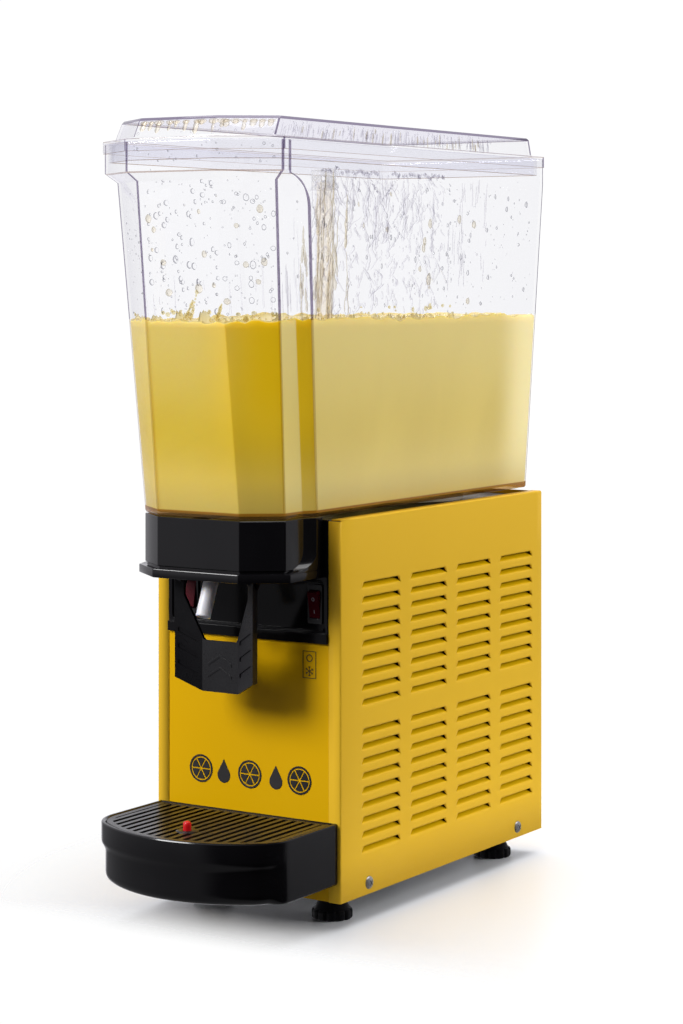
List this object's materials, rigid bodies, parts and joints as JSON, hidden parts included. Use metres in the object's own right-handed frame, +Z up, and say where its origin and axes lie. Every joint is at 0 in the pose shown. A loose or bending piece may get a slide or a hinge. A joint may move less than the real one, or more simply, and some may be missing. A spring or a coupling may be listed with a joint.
{
  "type": "refrigerated beverage dispenser",
  "caption": "Tall countertop juice dispenser: yellow sheet-metal cabinet, clear bowl and lid on a black cradle, push lever with silicone tap tube, rocker switches and drip tray.",
  "frame": {"origin": "middle of the object's footprint, on the surface it stands on", "axes": "+Z up, +X across the cabinet to the user's right, -Y towards the user (front)"},
  "size_m": [0.195, 0.4926, 0.6788],
  "materials": {
    "painted_steel": "semi-gloss yellow powder coat",
    "galvanised_steel": "satin zinc-plated sheet",
    "black_gloss": "glossy black moulding",
    "black_satin": "fine satin black moulding",
    "black_rubber": "matt",
    "stainless": "stainless, satin",
    "compressor_enamel": "black enamel",
    "copper": "bare copper tube",
    "foam": "cut polyurethane foam",
    "white_silicone": "soft satin silicone",
    "white_plastic": "white moulding",
    "ferrite": "sintered magnet",
    "black_nylon": "matt electrical moulding",
    "red_plastic": "translucent red moulding",
    "black_print": "printed film",
    "clear_polycarbonate": "clear moulded polycarbonate"
  },
  "bodies": {
    "cabinet": {"left_side_panel": "painted_steel", "right_side_panel": "painted_steel", "front_panel": "painted_steel", "rear_panel": "painted_steel", "base_plate": "galvanised_steel", "tray_arms": "galvanised_steel", "fan_shroud": "galvanised_steel", "switch_panel": "black_gloss", "bowl_cradle": "black_gloss", "top_deck": "black_satin", "compressor_mounts": "black_rubber", "panel_screws": "stainless", "foot_nuts": "stainless", "evaporator_dome": "stainless", "lever_pin": "stainless", "lever_spring": "stainless", "condenser": "stainless", "compressor": "compressor_enamel", "fan_motor": "compressor_enamel", "pump_motor": "compressor_enamel", "evaporator_coil": "copper", "filter_drier": "copper", "refrigerant_pipes": "copper", "insulation": "foam", "dome_gasket": "white_silicone", "terminal_block": "white_plastic", "thermostat": "black_nylon", "power_inlet": "black_nylon", "left_switch_housing": "black_nylon", "right_switch_housing": "black_nylon", "front_emblem": "black_print", "switch_label": "black_print"},
    "bowl": {"bowl": "clear_polycarbonate", "outlet_spout": "clear_polycarbonate", "tap_tube": "white_silicone", "spray_tube": "clear_polycarbonate", "spray_nozzle": "white_plastic", "pump_cover": "white_plastic"},
    "impeller": {"impeller": "white_plastic"},
    "lid": {"lid": "clear_polycarbonate"},
    "lever": {"push_lever": "black_satin"},
    "tray": {"drip_tray": "black_gloss"},
    "grille": {"drip_grille": "black_satin"},
    "float": {"float_indicator": "red_plastic"},
    "left_rocker": {"left_rocker": "red_plastic"},
    "right_rocker": {"right_rocker": "red_plastic"},
    "fan": {"fan_blade": "white_plastic"},
    "pump_rotor": {"drive_magnet": "ferrite"},
    "front_left_foot": {"front_left_foot": "black_rubber"},
    "front_right_foot": {"front_right_foot": "black_rubber"},
    "rear_left_foot": {"rear_left_foot": "black_rubber"},
    "rear_right_foot": {"rear_right_foot": "black_rubber"}
  },
  "joints": [
    {"name": "bowl_lift", "type": "slide", "parent": "cabinet", "child": "bowl", "axis": [0, 0, 1], "range_m": [0, 0.16]},
    {"name": "lid_lift", "type": "slide", "parent": "bowl", "child": "lid", "axis": [0, 0, 1], "range_m": [0, 0.08]},
    {"name": "lever_push", "type": "hinge", "parent": "cabinet", "child": "lever", "pos_m": [0, -0.14125, 0.326], "axis": [1, 0, 0], "range_deg": [0, 14], "stiffness_Nm_per_rad": 0.5, "springref_deg": -11.46},
    {"name": "left_switch", "type": "hinge", "parent": "cabinet", "child": "left_rocker", "pos_m": [-0.058, -0.11825, 0.272], "axis": [1, 0, 0], "range_deg": [0, 22]},
    {"name": "right_switch", "type": "hinge", "parent": "cabinet", "child": "right_rocker", "pos_m": [0.07, -0.11825, 0.272], "axis": [1, 0, 0], "range_deg": [-22, 0]},
    {"name": "tray_slide", "type": "slide", "parent": "cabinet", "child": "tray", "axis": [0, -1, 0], "range_m": [0, 0.14]},
    {"name": "grille_lift", "type": "slide", "parent": "tray", "child": "grille", "axis": [0, 0, 1], "range_m": [0, 0.05]},
    {"name": "float_rise", "type": "slide", "parent": "tray", "child": "float", "axis": [0, 0, 1], "range_m": [0, 0.008]},
    {"name": "fan_spin", "type": "hinge", "parent": "cabinet", "child": "fan", "pos_m": [0, -0.03925, 0.136], "axis": [0, 1, 0], "continuous": true},
    {"name": "pump_spin", "type": "hinge", "parent": "cabinet", "child": "pump_rotor", "pos_m": [0, 0.00075, 0.33], "axis": [0, 0, 1], "continuous": true},
    {"name": "impeller_spin", "type": "hinge", "parent": "bowl", "child": "impeller", "pos_m": [0, 0.00075, 0.355], "axis": [0, 0, 1], "continuous": true},
    {"name": "front_left_foot_turn", "type": "hinge", "parent": "cabinet", "child": "front_left_foot", "pos_m": [-0.062, -0.08125, 0.012], "axis": [0, 0, 1], "continuous": true},
    {"name": "front_right_foot_turn", "type": "hinge", "parent": "cabinet", "child": "front_right_foot", "pos_m": [0.062, -0.08125, 0.012], "axis": [0, 0, 1], "continuous": true},
    {"name": "rear_left_foot_turn", "type": "hinge", "parent": "cabinet", "child": "rear_left_foot", "pos_m": [-0.062, 0.19675, 0.012], "axis": [0, 0, 1], "continuous": true},
    {"name": "rear_right_foot_turn", "type": "hinge", "parent": "cabinet", "child": "rear_right_foot", "pos_m": [0.062, 0.19675, 0.012], "axis": [0, 0, 1], "continuous": true}
  ],
  "couplings": [
    {"joint": "impeller_spin", "follows": "pump_spin", "ratio": 1}
  ]
}
